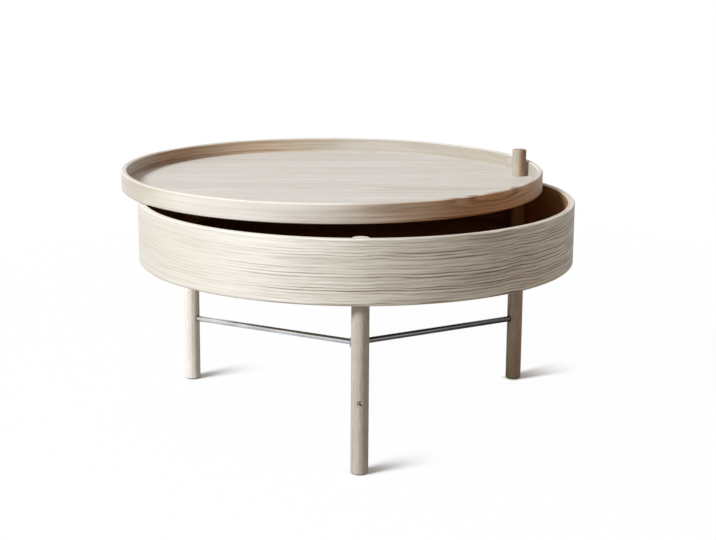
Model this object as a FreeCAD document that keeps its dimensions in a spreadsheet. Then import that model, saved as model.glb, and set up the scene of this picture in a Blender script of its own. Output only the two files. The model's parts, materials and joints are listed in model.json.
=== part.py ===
import FreeCAD, Part
import math
import os
import Sketcher

# Swivel coffee table: a round storage drum on three dowel legs, tied together by a
# Y of steel rods, with a rimmed tray for a lid. One leg runs up through the tray as
# a post, and the tray turns about it. The frame: origin on the ground under the
# middle of the drum, +Z up, the front leg on -Y. Millimetres and degrees.

# ---------------------------------------------------------------- driving sizes
SIZES = [
    # drum
    ("table_diameter", 650.0, "outside of both bent hoops, drum wall and tray rim"),
    ("drum_height", 90.0, "height of the drum wall"),
    ("drum_wall", 10.0, "thickness of the drum wall"),
    ("floor_clearance", 238.0, "ground to the underside of the drum wall"),
    ("drum_panel", 9.0, "thickness of the drum's floor panel"),
    ("panel_recess", 4.0, "underside of the drum wall to underside of its panel"),
    ("groove_depth", 3.0, "groove in the drum wall that holds the panel"),
    ("edge_bevel", 1.2, "bevel on the drum wall's four edges and under the tray rim"),
    # tray
    ("tray_height", 28.5, "height of the tray rim"),
    ("tray_wall", 8.5, "thickness of the tray rim"),
    ("tray_panel", 6.5, "thickness of the tray's floor panel"),
    ("rebate_depth", 3.5, "rebate under the tray rim that holds the panel"),
    ("rim_bevel", 1.5, "bevel on the tray rim's top edges"),
    ("tray_gap", 0.8, "running gap between drum wall and tray"),
    ("tray_turn", 19.5, "angle the tray stands open, clockwise from above"),
    # legs
    ("leg_diameter", 24.4, "dowel of all three legs"),
    ("leg_wall_gap", 0.3, "gap between a leg and the drum wall"),
    ("leg_hole_fit", 0.15, "radial room of a leg in the drum panel"),
    ("leg_top_drop", 2.5, "short legs end this far below the drum's rim"),
    ("leg_top_round", 0.8, "bevel on top of the short legs"),
    ("foot_bevel", 0.8, "bevel round each foot"),
    ("pivot_angle", 30.0, "direction of the pivot leg from +X"),
    # post on the pivot leg
    ("post_shoulder", 1.2, "ledge where the leg narrows to its post"),
    ("post_height", 42.0, "post above the floor of the tray"),
    ("post_round", 1.6, "rounding on top of the post"),
    ("post_running_fit", 0.05, "radial clearance of the post in its bush"),
    ("washer_thickness", 1.5, "thrust washer on the post's shoulder"),
    ("washer_inset", 0.2, "washer's edge inside the leg's edge"),
    ("bush_wall", 2.0, "wall of the tray bush"),
    ("flange_width", 4.0, "flange of the tray bush beyond its sleeve"),
    ("flange_thickness", 1.8, "flange of the tray bush"),
    ("bush_cover", 1.6, "tray floor left above the bush"),
    ("post_hole_room", 0.3, "radial room of the post in the tray floor"),
    # feet
    ("pad_diameter", 22.4, "felt pad under each leg"),
    ("pad_thickness", 1.5, "felt pad under each leg"),
    # stretcher
    ("rod_diameter", 9.0, "steel rods of the stretcher"),
    ("rod_level", 101.0, "ground to the axis of the rods"),
    ("rod_bevel", 0.6, "bevel on the outer end of a rod"),
    ("rod_seat", 6.0, "depth of a rod in its leg"),
    ("rod_leg_room", 1.0, "radial room of a rod in its leg"),
    ("hub_diameter", 18.0, "turned hub where the rods meet"),
    ("hub_height", 14.0, "turned hub where the rods meet"),
    ("hub_bevel", 0.6, "bevel on both faces of the hub"),
    ("hub_seat", 6.0, "depth of a rod in the hub"),
    ("hub_fit", 0.05, "radial room of a rod in the hub"),
    ("grub_diameter", 4.0, "set screws that lock the rods in the hub"),
    ("grub_fit", 0.05, "radial room of a set screw"),
    ("grub_recess", 0.4, "set screw's outer end below the hub's face"),
    ("grub_socket", 2.0, "hexagon socket of a set screw across its flats"),
    ("grub_socket_depth", 1.2, "hexagon socket of a set screw"),
    # machine screws that pull the rods into the legs
    ("bolt_diameter", 4.0, "shank of a rod screw"),
    ("bolt_fit", 0.05, "radial room of a shank in the rod's tapped bore"),
    ("bolt_hole_room", 0.2, "radial room of a shank in the leg"),
    ("bolt_bite", 12.0, "length of a shank in its rod"),
    ("bolt_spare", 1.5, "tapped bore beyond the end of the shank"),
    ("bolt_head_diameter", 7.6, "button head of a rod screw"),
    ("bolt_head_height", 2.3, "button head of a rod screw"),
    ("bolt_head_bevel", 1.3, "slope round the button head"),
    ("bolt_socket", 2.5, "hexagon socket across its flats"),
    ("bolt_socket_depth", 1.4, "hexagon socket"),
    ("spot_depth", 1.2, "spot face in the leg, under the head"),
    ("spot_room", 0.5, "radial room of the head in its spot face"),
    # wood screws that hold the legs to the drum wall
    ("screw_diameter", 4.0, "shank of a leg screw"),
    ("screw_fit", 0.05, "radial room of a shank in its hole"),
    ("screw_head", 7.8, "countersunk head of a leg screw"),
    ("screw_sink", 2.0, "flat of the head below the face of the leg"),
    ("screw_bite", 6.5, "length of a shank in the drum wall"),
    ("screw_taper", 2.0, "tapered tip of the shank"),
    ("screw_point", 1.0, "flat end of the tip"),
    ("screw_edge", 26.0, "upper screw below the rim, lower one above the panel"),
    ("drive_depth", 1.2, "cross recess in the head"),
    ("drive_width", 1.1, "arm of the cross recess"),
    ("drive_span", 4.2, "length of the cross recess from tip to tip"),
    # construction
    ("overcut", 2.5, "how far a cutter runs past the surface that it opens"),
]
LEG_COUNT = 3
MATCH = 1e-4

doc = FreeCAD.newDocument("swivel_coffee_table")
sheet = doc.addObject("Spreadsheet::Sheet", "Sizes")
for row, (alias, number, note) in enumerate(SIZES, start=1):
    sheet.set(f"A{row}", alias.replace("_", " "))
    sheet.set(f"B{row}", str(number))
    sheet.setAlias(f"B{row}", alias)
    sheet.set(f"C{row}", note)
doc.recompute()


class Size:
    """A number and the sheet expression that gives it, kept in step."""

    def __init__(self, number, text):
        self.number = number
        self.text = text

    def join(self, sign, other, number):
        other_text = other.text if isinstance(other, Size) else repr(float(other))
        return Size(number, f"({self.text} {sign} {other_text})")

    def __add__(self, other):
        return self.join("+", other, self.number + number_of(other))

    def __sub__(self, other):
        return self.join("-", other, self.number - number_of(other))

    def __mul__(self, other):
        return self.join("*", other, self.number * number_of(other))

    def __truediv__(self, other):
        return self.join("/", other, self.number / number_of(other))

    def __neg__(self):
        return Size(-self.number, f"(-1 * {self.text})")


def number_of(value):
    return value.number if isinstance(value, Size) else float(value)


def cosine(angle):
    return Size(math.cos(math.radians(angle.number)), f"cos({angle.text})")


def sine(angle):
    return Size(math.sin(math.radians(angle.number)), f"sin({angle.text})")


S = {alias: Size(number, f"Sizes.{alias}") for alias, number, note in SIZES}
ZERO = Size(0.0, "0")

# ---------------------------------------------------------- heights and radii
RIM_TOP = S["floor_clearance"] + S["drum_height"]
HOOP_OUTER = S["table_diameter"] / 2
DRUM_INNER = HOOP_OUTER - S["drum_wall"]
PANEL_BOTTOM = S["floor_clearance"] + S["panel_recess"]
PANEL_TOP = PANEL_BOTTOM + S["drum_panel"]
LEG_RADIUS = S["leg_diameter"] / 2
LEG_CIRCLE = DRUM_INNER - S["leg_wall_gap"] - LEG_RADIUS
SHORT_LEG_TOP = RIM_TOP - S["leg_top_drop"]
TRAY_BOTTOM = RIM_TOP + S["tray_gap"]
SHOULDER = TRAY_BOTTOM - S["washer_thickness"]
POST_RADIUS = LEG_RADIUS - S["post_shoulder"]
POST_TOP = TRAY_BOTTOM + S["tray_panel"] + S["post_height"]
BUSH_INNER = POST_RADIUS + S["post_running_fit"]
BUSH_OUTER = BUSH_INNER + S["bush_wall"]
FLANGE_OUTER = BUSH_OUTER + S["flange_width"]
BUSH_HEIGHT = S["tray_panel"] - S["bush_cover"]
TRAY_INNER = HOOP_OUTER - S["tray_wall"]
TRAY_PANEL_RADIUS = TRAY_INNER + S["rebate_depth"]
ROD_RADIUS = S["rod_diameter"] / 2
ROD_START = S["hub_diameter"] / 2 - S["hub_seat"]
ROD_END = LEG_CIRCLE - LEG_RADIUS + S["rod_seat"]
HUB_BOTTOM = S["rod_level"] - S["hub_height"] / 2
GRUB_RADIUS = S["grub_diameter"] / 2
GRUB_CIRCLE = S["hub_diameter"] / 2 - S["hub_seat"] / 2
HEAD_RADIUS = S["bolt_head_diameter"] / 2
HEAD_FACE = LEG_RADIUS - S["spot_depth"]
BOLT_RADIUS = S["bolt_diameter"] / 2
SCREW_RADIUS = S["screw_diameter"] / 2
SCREW_HEAD_RADIUS = S["screw_head"] / 2
SCREW_FLAT = S["screw_sink"] - LEG_RADIUS
SCREW_LEVELS = (PANEL_TOP + S["screw_edge"], RIM_TOP - S["screw_edge"])

LEG_STEP = 360.0 / LEG_COUNT
ANGLES = {
    "pivot": S["pivot_angle"],
    "left": S["pivot_angle"] + LEG_STEP,
    "front": S["pivot_angle"] + 2 * LEG_STEP,
}


# ------------------------------------------------------------------- helpers
def new_body(label):
    body = doc.addObject("PartDesign::Body", label)
    body.Label = label
    return body


def origin_item(body, role):
    return [item for item in body.Origin.OriginFeatures if item.Role == role][0]


def sketch_on(body, plane, name, level=None):
    """A sketch on a plane of the body's own origin, raised to a level."""
    sketch = body.newObject("Sketcher::SketchObject", name)
    sketch.AttachmentSupport = [(origin_item(body, plane), "")]
    sketch.MapMode = "FlatFace"
    if level is not None:
        axis = "y" if plane == "XZ_Plane" else "z"
        sketch.setExpression(f"AttachmentOffset.Base.{axis}", level.text)
    return sketch


def bind(sketch, kind, geometry, point, size):
    rule = Sketcher.Constraint(kind, -1, 1, geometry, point, size.number)
    index = sketch.addConstraint(rule)
    sketch.setExpression(f"Constraints[{index}]", size.text)


def draw_outline(sketch, corners):
    """A closed outline of straight edges; each corner is two sizes."""
    count = len(corners)
    points = [FreeCAD.Vector(x.number, y.number, 0) for x, y in corners]
    for i in range(count):
        sketch.addGeometry(Part.LineSegment(points[i], points[(i + 1) % count]), False)
    for i in range(count):
        sketch.addConstraint(Sketcher.Constraint("Coincident", i, 2, (i + 1) % count, 1))
    for i, (x, y) in enumerate(corners):
        bind(sketch, "DistanceX", i, 1, x)
        bind(sketch, "DistanceY", i, 1, y)


def draw_circle(sketch, radius, x=ZERO, y=ZERO):
    centre = FreeCAD.Vector(x.number, y.number, 0)
    circle = Part.Circle(centre, FreeCAD.Vector(0, 0, 1), radius.number)
    index = sketch.addGeometry(circle, False)
    bind(sketch, "DistanceX", index, 3, x)
    bind(sketch, "DistanceY", index, 3, y)
    rule = sketch.addConstraint(Sketcher.Constraint("Radius", index, radius.number))
    sketch.setExpression(f"Constraints[{rule}]", radius.text)


def hexagon(across_flats, middle):
    """The six corners of a hexagon round a point at a height on the sketch's Y."""
    corner = across_flats / 2 / math.cos(math.pi / 6)
    turns = [math.radians(60 * i) for i in range(6)]
    return [(corner * math.cos(turn), middle + corner * math.sin(turn)) for turn in turns]


def turned(body, corners, name="turned", bore=False, level=None):
    """Spin an outline about Z or, where a level is given, about X at that level.

    What stands starts on YZ, so that its seam lies clear of the bores along X.
    """
    lying = level is not None
    plane = "XZ_Plane" if lying else "YZ_Plane"
    sketch = sketch_on(body, plane, f"{body.Label}_{name}_outline", level)
    draw_outline(sketch, corners)
    kind = "PartDesign::Groove" if bore else "PartDesign::Revolution"
    feature = body.newObject(kind, f"{body.Label}_{name}")
    feature.Profile = sketch
    feature.ReferenceAxis = (sketch, ["H_Axis" if lying else "V_Axis"])
    feature.Angle = 360
    sketch.Visibility = False
    doc.recompute()
    return feature


def padded(body, radius, height, level, name="disc"):
    sketch = sketch_on(body, "XY_Plane", f"{body.Label}_{name}_outline", level)
    draw_circle(sketch, radius)
    feature = body.newObject("PartDesign::Pad", f"{body.Label}_{name}")
    feature.Profile = sketch
    feature.setExpression("Length", height.text)
    doc.recompute()
    return feature


def pocketed(body, sketch, depth, name, upward):
    """Cut a sketch into the body, and make sure that it took something away."""
    before = body.Shape.Volume
    feature = body.newObject("PartDesign::Pocket", f"{body.Label}_{name}")
    feature.Profile = sketch
    feature.Reversed = upward
    feature.setExpression("Length", depth.text)
    doc.recompute()
    if not body.Shape.Volume < before:
        raise RuntimeError(f"{body.Label}: {name} cuts nothing")
    return feature


def patterned(body, features, count):
    """Repeat features round the body's Z axis."""
    pattern = body.newObject("PartDesign::PolarPattern", f"{body.Label}_round")
    pattern.Originals = features
    pattern.Axis = (origin_item(body, "Z_Axis"), [""])
    pattern.Angle = 360
    pattern.Occurrences = count
    body.Tip = pattern
    doc.recompute()
    return pattern


def eased(body, name, size, rings, rounded=False, lying=False):
    """Bevel or round the circular edges with these radii and places along the axis."""
    base = body.Tip
    found = []
    for number, edge in enumerate(body.Shape.Edges, start=1):
        if not isinstance(edge.Curve, Part.Circle):
            continue
        centre = edge.Curve.Center
        along = centre.x if lying else centre.z
        for ring_radius, ring_place in rings:
            same_radius = abs(edge.Curve.Radius - ring_radius.number) < MATCH
            if same_radius and abs(along - ring_place.number) < MATCH:
                found.append(f"Edge{number}")
    kind = "PartDesign::Fillet" if rounded else "PartDesign::Chamfer"
    feature = body.newObject(kind, f"{body.Label}_{name}")
    feature.Base = (base, found)
    feature.setExpression("Radius" if rounded else "Size", size.text)
    doc.recompute()
    return feature


def place(body, x=None, y=None, turn=None):
    if x is not None:
        body.setExpression("Placement.Base.x", x.text)
        body.setExpression("Placement.Base.y", y.text)
    if turn is not None:
        body.setExpression("Placement.Rotation.Angle", turn.text)
    doc.recompute()


def place_on_leg(body, leg):
    """Put a body made round its own Z axis onto a leg, with +X pointing outwards."""
    angle = ANGLES[leg]
    place(body, LEG_CIRCLE * cosine(angle), LEG_CIRCLE * sine(angle), angle)


def place_in_tray(body):
    """Swing a body, made as if the tray were shut, about the post."""
    angle = S["pivot_angle"]
    swung = angle - S["tray_turn"]
    x = LEG_CIRCLE * cosine(angle) - LEG_CIRCLE * cosine(swung)
    y = LEG_CIRCLE * sine(angle) - LEG_CIRCLE * sine(swung)
    place(body, x, y, -S["tray_turn"])


# --------------------------------------------------------------------- drum
def make_drum_wall():
    """A strip bent into a hoop, grooved inside for the panel that it wraps."""
    body = new_body("drum_wall")
    groove_radius = DRUM_INNER + S["groove_depth"]
    turned(body, [
        (DRUM_INNER, S["floor_clearance"]), (HOOP_OUTER, S["floor_clearance"]),
        (HOOP_OUTER, RIM_TOP), (DRUM_INNER, RIM_TOP),
        (DRUM_INNER, PANEL_TOP), (groove_radius, PANEL_TOP),
        (groove_radius, PANEL_BOTTOM), (DRUM_INNER, PANEL_BOTTOM),
    ])
    rings = [(radius, height) for radius in (DRUM_INNER, HOOP_OUTER)
             for height in (S["floor_clearance"], RIM_TOP)]
    eased(body, "edges", S["edge_bevel"], rings)
    pilot = SCREW_RADIUS + S["screw_fit"]
    mouth = DRUM_INNER - S["overcut"]
    tip = DRUM_INNER + S["screw_bite"] + S["screw_fit"]
    bores = []
    for number, level in enumerate(SCREW_LEVELS, start=1):
        bores.append(turned(body, [(mouth, ZERO), (tip, ZERO), (tip, pilot), (mouth, pilot)],
                            f"pilot_{number}", True, level))
    patterned(body, bores, LEG_COUNT)
    place(body, turn=S["pivot_angle"])
    return body


def make_drum_floor():
    """A round panel with a hole for each leg, seated in the wall's groove."""
    body = new_body("drum_floor")
    padded(body, DRUM_INNER + S["groove_depth"], S["drum_panel"], PANEL_BOTTOM)
    sketch = sketch_on(body, "XY_Plane", "drum_floor_leg_hole", PANEL_BOTTOM)
    draw_circle(sketch, LEG_RADIUS + S["leg_hole_fit"], LEG_CIRCLE)
    hole = pocketed(body, sketch, S["drum_panel"], "leg_holes", True)
    patterned(body, [hole], LEG_COUNT)
    place(body, turn=S["pivot_angle"])
    return body


# --------------------------------------------------------------------- legs
def bore_leg(body):
    """The cross bores of a leg: one for its rod and rod screw, two for leg screws."""
    inner = -LEG_RADIUS - S["overcut"]
    outer = LEG_RADIUS + S["overcut"]
    rod_bottom = S["rod_seat"] - LEG_RADIUS
    socket = ROD_RADIUS + S["rod_leg_room"]
    clear = BOLT_RADIUS + S["bolt_hole_room"]
    spot = HEAD_RADIUS + S["spot_room"]
    turned(body, [
        (inner, ZERO), (outer, ZERO), (outer, spot), (HEAD_FACE, spot),
        (HEAD_FACE, clear), (rod_bottom, clear), (rod_bottom, socket), (inner, socket),
    ], "rod_bore", True, S["rod_level"])
    shank = SCREW_RADIUS + S["screw_fit"]
    head = SCREW_HEAD_RADIUS + S["screw_fit"]
    cone_end = SCREW_FLAT + (SCREW_HEAD_RADIUS - SCREW_RADIUS)
    for number, level in enumerate(SCREW_LEVELS, start=1):
        turned(body, [
            (inner, ZERO), (outer, ZERO), (outer, shank),
            (cone_end, shank), (SCREW_FLAT, head), (inner, head),
        ], f"screw_bore_{number}", True, level)


def make_short_leg(leg):
    """A plain dowel from its felt pad to just under the drum's rim."""
    body = new_body(f"{leg}_leg")
    bottom = S["pad_thickness"]
    turned(body, [
        (ZERO, bottom), (LEG_RADIUS - S["foot_bevel"], bottom),
        (LEG_RADIUS, bottom + S["foot_bevel"]),
        (LEG_RADIUS, SHORT_LEG_TOP - S["leg_top_round"]),
        (LEG_RADIUS - S["leg_top_round"], SHORT_LEG_TOP), (ZERO, SHORT_LEG_TOP),
    ])
    bore_leg(body)
    place_on_leg(body, leg)
    return body


def make_pivot_leg():
    """The long dowel: its shoulder carries the tray, its neck is the tray's post."""
    body = new_body("pivot_leg")
    bottom = S["pad_thickness"]
    turned(body, [
        (ZERO, bottom), (LEG_RADIUS - S["foot_bevel"], bottom),
        (LEG_RADIUS, bottom + S["foot_bevel"]), (LEG_RADIUS, SHOULDER),
        (POST_RADIUS, SHOULDER), (POST_RADIUS, POST_TOP), (ZERO, POST_TOP),
    ])
    eased(body, "crown", S["post_round"], [(POST_RADIUS, POST_TOP)], rounded=True)
    bore_leg(body)
    place_on_leg(body, "pivot")
    return body


def make_foot_pad(leg):
    """A felt disc glued under a leg."""
    body = new_body(f"{leg}_foot_pad")
    padded(body, S["pad_diameter"] / 2, S["pad_thickness"], ZERO)
    place_on_leg(body, leg)
    return body


# ---------------------------------------------------------------- stretcher
def make_hub():
    """A turned steel puck with a blind socket for each rod."""
    body = new_body("stretcher_hub")
    radius = S["hub_diameter"] / 2
    top = S["rod_level"] + S["hub_height"] / 2
    bevel = S["hub_bevel"]
    turned(body, [
        (ZERO, HUB_BOTTOM), (radius - bevel, HUB_BOTTOM), (radius, HUB_BOTTOM + bevel),
        (radius, top - bevel), (radius - bevel, top), (ZERO, top),
    ])
    socket = ROD_RADIUS + S["hub_fit"]
    mouth = radius + S["overcut"]
    bore = turned(body, [(ROD_START, ZERO), (mouth, ZERO), (mouth, socket), (ROD_START, socket)],
                  "socket", True, S["rod_level"])
    sketch = sketch_on(body, "XY_Plane", "stretcher_hub_grub_hole_outline", HUB_BOTTOM)
    draw_circle(sketch, GRUB_RADIUS + S["grub_fit"], GRUB_CIRCLE)
    depth = S["hub_height"] / 2 - ROD_RADIUS / 2
    grub_hole = pocketed(body, sketch, depth, "grub_hole", True)
    patterned(body, [bore, grub_hole], LEG_COUNT)
    place(body, turn=S["pivot_angle"])
    return body


def make_grub_screw(leg):
    """A set screw in the underside of the hub, up against the rod."""
    body = new_body(f"{leg}_grub_screw")
    bottom = HUB_BOTTOM + S["grub_recess"]
    length = S["rod_level"] - ROD_RADIUS - bottom
    padded(body, GRUB_RADIUS, length, bottom)
    socket = sketch_on(body, "XY_Plane", f"{leg}_grub_screw_socket", bottom)
    draw_outline(socket, hexagon(S["grub_socket"], ZERO))
    pocketed(body, socket, S["grub_socket_depth"], "socket", True)
    angle = ANGLES[leg]
    place(body, GRUB_CIRCLE * cosine(angle), GRUB_CIRCLE * sine(angle), angle)
    return body


def make_rod(leg):
    """A polished rod from hub to leg, tapped in its outer end."""
    body = new_body(f"{leg}_rod")
    bevel = S["rod_bevel"]
    turned(body, [
        (ROD_START, ZERO), (ROD_END, ZERO), (ROD_END, ROD_RADIUS - bevel),
        (ROD_END - bevel, ROD_RADIUS), (ROD_START, ROD_RADIUS),
    ], level=S["rod_level"])
    tapped = BOLT_RADIUS + S["bolt_fit"]
    bottom = ROD_END - S["bolt_bite"] - S["bolt_spare"]
    mouth = ROD_END + S["overcut"]
    turned(body, [(bottom, ZERO), (mouth, ZERO), (mouth, tapped), (bottom, tapped)],
           "tapped_bore", True, S["rod_level"])
    place(body, turn=ANGLES[leg])
    return body


def make_rod_screw(leg):
    """A button-head machine screw through the leg into the end of the rod."""
    body = new_body(f"{leg}_rod_screw")
    shank_end = S["rod_seat"] - LEG_RADIUS - S["bolt_bite"]
    head_top = HEAD_FACE + S["bolt_head_height"]
    turned(body, [
        (shank_end, ZERO), (head_top, ZERO), (head_top, HEAD_RADIUS),
        (HEAD_FACE, HEAD_RADIUS), (HEAD_FACE, BOLT_RADIUS), (shank_end, BOLT_RADIUS),
    ], level=S["rod_level"])
    eased(body, "button", S["bolt_head_bevel"], [(HEAD_RADIUS, head_top)], lying=True)
    socket = sketch_on(body, "YZ_Plane", f"{leg}_rod_screw_socket", head_top)
    draw_outline(socket, hexagon(S["bolt_socket"], S["rod_level"]))
    pocketed(body, socket, S["bolt_socket_depth"], "socket", False)
    place_on_leg(body, leg)
    return body


def make_leg_screw(leg, number, level):
    """A countersunk wood screw, driven from inside the drum through leg and wall."""
    body = new_body(f"{leg}_leg_screw_{number}")
    cone_end = SCREW_FLAT + (SCREW_HEAD_RADIUS - SCREW_RADIUS)
    shank_end = LEG_RADIUS + S["leg_wall_gap"] + S["screw_bite"]
    taper = shank_end - S["screw_taper"]
    point = S["screw_point"] / 2
    turned(body, [
        (SCREW_FLAT, ZERO), (shank_end, ZERO), (shank_end, point), (taper, SCREW_RADIUS),
        (cone_end, SCREW_RADIUS), (SCREW_FLAT, SCREW_HEAD_RADIUS),
    ], level=level)
    recess = sketch_on(body, "YZ_Plane", f"{body.Label}_cross", SCREW_FLAT)
    arm = S["drive_width"] / 2
    span = S["drive_span"] / 2
    low, high = level - arm, level + arm
    draw_outline(recess, [
        (arm, high), (arm, level + span), (-arm, level + span), (-arm, high),
        (-span, high), (-span, low), (-arm, low), (-arm, level - span),
        (arm, level - span), (arm, low), (span, low), (span, high),
    ])
    pocketed(body, recess, S["drive_depth"], "cross_recess", True)
    place_on_leg(body, leg)
    return body


# --------------------------------------------------------------------- tray
def make_tray_rim():
    """A strip bent into a hoop, rebated underneath for the tray's panel."""
    body = new_body("tray_rim")
    top = TRAY_BOTTOM + S["tray_height"]
    panel_top = TRAY_BOTTOM + S["tray_panel"]
    turned(body, [
        (TRAY_PANEL_RADIUS, TRAY_BOTTOM), (HOOP_OUTER, TRAY_BOTTOM),
        (HOOP_OUTER, top), (TRAY_INNER, top),
        (TRAY_INNER, panel_top), (TRAY_PANEL_RADIUS, panel_top),
    ])
    eased(body, "top_edges", S["rim_bevel"], [(TRAY_INNER, top), (HOOP_OUTER, top)])
    eased(body, "lower_edge", S["edge_bevel"], [(HOOP_OUTER, TRAY_BOTTOM)])
    place_in_tray(body)
    return body


def make_tray_floor():
    """A round panel, counterbored from below for the bush that runs on the post."""
    body = new_body("tray_floor")
    padded(body, TRAY_PANEL_RADIUS, S["tray_panel"], TRAY_BOTTOM)
    angle = S["pivot_angle"]
    x = LEG_CIRCLE * cosine(angle)
    y = LEG_CIRCLE * sine(angle)
    steps = [
        ("flange_seat", FLANGE_OUTER, S["flange_thickness"]),
        ("bush_seat", BUSH_OUTER, BUSH_HEIGHT),
        ("post_hole", POST_RADIUS + S["post_hole_room"], S["tray_panel"]),
    ]
    for name, radius, depth in steps:
        sketch = sketch_on(body, "XY_Plane", f"tray_floor_{name}_outline", TRAY_BOTTOM)
        draw_circle(sketch, radius, x, y)
        pocketed(body, sketch, depth, name, True)
    place_in_tray(body)
    return body


def make_tray_bush():
    """A flanged nylon sleeve pressed into the tray from below."""
    body = new_body("tray_bush")
    flange_top = TRAY_BOTTOM + S["flange_thickness"]
    top = TRAY_BOTTOM + BUSH_HEIGHT
    turned(body, [
        (BUSH_INNER, TRAY_BOTTOM), (FLANGE_OUTER, TRAY_BOTTOM),
        (FLANGE_OUTER, flange_top), (BUSH_OUTER, flange_top),
        (BUSH_OUTER, top), (BUSH_INNER, top),
    ])
    place_on_leg(body, "pivot")
    return body


def make_thrust_washer():
    """The thin nylon ring on the shoulder that the tray turns on."""
    body = new_body("thrust_washer")
    outer = LEG_RADIUS - S["washer_inset"]
    turned(body, [
        (BUSH_INNER, SHOULDER), (outer, SHOULDER),
        (outer, TRAY_BOTTOM), (BUSH_INNER, TRAY_BOTTOM),
    ])
    place_on_leg(body, "pivot")
    return body


# ----------------------------------------------------------------- assembly
nodes = [
    make_drum_wall(),
    make_drum_floor(),
    make_short_leg("front"),
    make_short_leg("left"),
    make_pivot_leg(),
]
for leg_name in ANGLES:
    nodes.append(make_foot_pad(leg_name))
nodes.append(make_hub())
for leg_name in ANGLES:
    nodes.append(make_rod(leg_name))
    nodes.append(make_grub_screw(leg_name))
    nodes.append(make_rod_screw(leg_name))
for leg_name in ANGLES:
    for number, level in enumerate(SCREW_LEVELS, start=1):
        nodes.append(make_leg_screw(leg_name, number, level))
nodes += [make_thrust_washer(), make_tray_bush(), make_tray_floor(), make_tray_rim()]
doc.recompute()

# ------------------------------------------------------------ checks, export
failed = [item.Label for item in doc.Objects
          if "Invalid" in item.State or "Error" in item.State]
for node in nodes:
    if node.Shape.isNull() or not node.Shape.isValid():
        failed.append(node.Label)
if failed:
    raise RuntimeError("failed: " + ", ".join(failed))

os.makedirs("parts", exist_ok=True)
for node in nodes:
    node.Shape.exportStep(os.path.join("parts", node.Label + ".step"))
    box = node.Shape.BoundBox
    print(f"{node.Label}: {len(node.Shape.Solids)} solid(s), "
          f"z {box.ZMin:.2f} to {box.ZMax:.2f}, {node.Shape.Volume / 1000:.2f} cm3")
print(f"{len(nodes)} nodes")
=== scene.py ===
# %% [markdown]
# # Dressing a swivel coffee table
#
# The table is a round wooden drum on three dowel legs. A rimmed tray is its lid, and the
# tray turns about one leg, which comes up through it as a post. The shapes are already
# modelled as solids, so this lesson is about finishes, light and a few small pieces.
#
# Bleached ash could be painted as one pale colour with some noise on top. It is built here
# as a log instead: every board is a cut through the same kind of rings, so the lines run
# round a bent hoop, along a panel and up a leg without any picture of wood.

import json
import math

import bpy
from mathutils import Euler, Matrix, Vector


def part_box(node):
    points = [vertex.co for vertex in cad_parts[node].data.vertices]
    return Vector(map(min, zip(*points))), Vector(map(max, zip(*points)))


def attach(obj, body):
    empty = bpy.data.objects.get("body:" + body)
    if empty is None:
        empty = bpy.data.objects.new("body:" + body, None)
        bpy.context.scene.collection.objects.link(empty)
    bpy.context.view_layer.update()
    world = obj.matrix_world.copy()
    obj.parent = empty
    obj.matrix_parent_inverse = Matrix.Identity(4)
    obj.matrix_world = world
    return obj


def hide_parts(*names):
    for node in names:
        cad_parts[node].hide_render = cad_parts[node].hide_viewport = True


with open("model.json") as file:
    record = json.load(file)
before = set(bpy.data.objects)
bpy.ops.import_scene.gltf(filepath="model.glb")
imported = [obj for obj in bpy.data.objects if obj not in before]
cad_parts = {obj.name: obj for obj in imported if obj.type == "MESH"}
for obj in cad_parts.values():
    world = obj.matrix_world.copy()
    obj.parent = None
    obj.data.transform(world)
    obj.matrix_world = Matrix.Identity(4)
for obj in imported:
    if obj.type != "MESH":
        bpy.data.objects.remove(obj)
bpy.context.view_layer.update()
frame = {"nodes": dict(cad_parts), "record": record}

# %% [markdown]
# ## Measures taken from the solids
#
# A finish that follows a hoop has to know where the hoop's middle is, and one that changes
# up a leg has to know the levels. They could be typed in, but then they would be wrong as
# soon as the table changes. The boxes of the nodes give them. Everything is in metres.


# %% Middles, levels and bearings
def middle_of(node):
    low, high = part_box(node)
    return (Vector(low) + Vector(high)) / 2


def underside_of(node):
    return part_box(node)[0][2]


def top_of(node):
    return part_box(node)[1][2]


drum_low, drum_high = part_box("drum_wall")
HOOP_RADIUS = (drum_high[0] - drum_low[0]) / 2
LEGS = {leg: middle_of(f"{leg}_foot_pad") for leg in ("front", "left", "pivot")}
PIVOT_BEARING = round(math.degrees(math.atan2(LEGS["pivot"].y, LEGS["pivot"].x)), 2)
print("hoops: radius", round(HOOP_RADIUS, 4), "tray at", middle_of("tray_rim").to_tuple(4))
print("pivot leg: bearing", PIVOT_BEARING, "degrees from +X, seen from above")

# %% [markdown]
# ## A small language for node trees
#
# Node trees can be wired by hand in the editor, or in code with one line for each node and
# each link. Both hide the sum that they stand for. Here one class wraps a socket and gives
# it Python's operators, so a formula reads as a formula and adds its own Math nodes.
# Everything else goes through one method: a node's type, its settings, then its sockets.


# %% A socket that can be calculated with
class Wire:
    """An output socket; a sum on wires adds the Math nodes that work it out."""

    def __init__(self, wiring, socket):
        self.wiring = wiring
        self.socket = socket

    def __add__(self, other):
        return self.wiring.maths("ADD", self, other)

    def __sub__(self, other):
        return self.wiring.maths("SUBTRACT", self, other)

    def __rsub__(self, other):
        return self.wiring.maths("SUBTRACT", other, self)

    def __mul__(self, other):
        return self.wiring.maths("MULTIPLY", self, other)

    def __truediv__(self, other):
        return self.wiring.maths("DIVIDE", self, other)

    def __rtruediv__(self, other):
        return self.wiring.maths("DIVIDE", other, self)

    def __pow__(self, other):
        return self.wiring.maths("POWER", self, other)

    def __rpow__(self, other):
        return self.wiring.maths("POWER", other, self)

    __radd__ = __add__
    __rmul__ = __mul__


def hypotenuse(one_way, other_way):
    """How far a point is that lies so far one way and so far the other."""
    return (one_way * one_way + other_way * other_way) ** 0.5


print("wires can be added, subtracted, multiplied, divided and raised")


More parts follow.
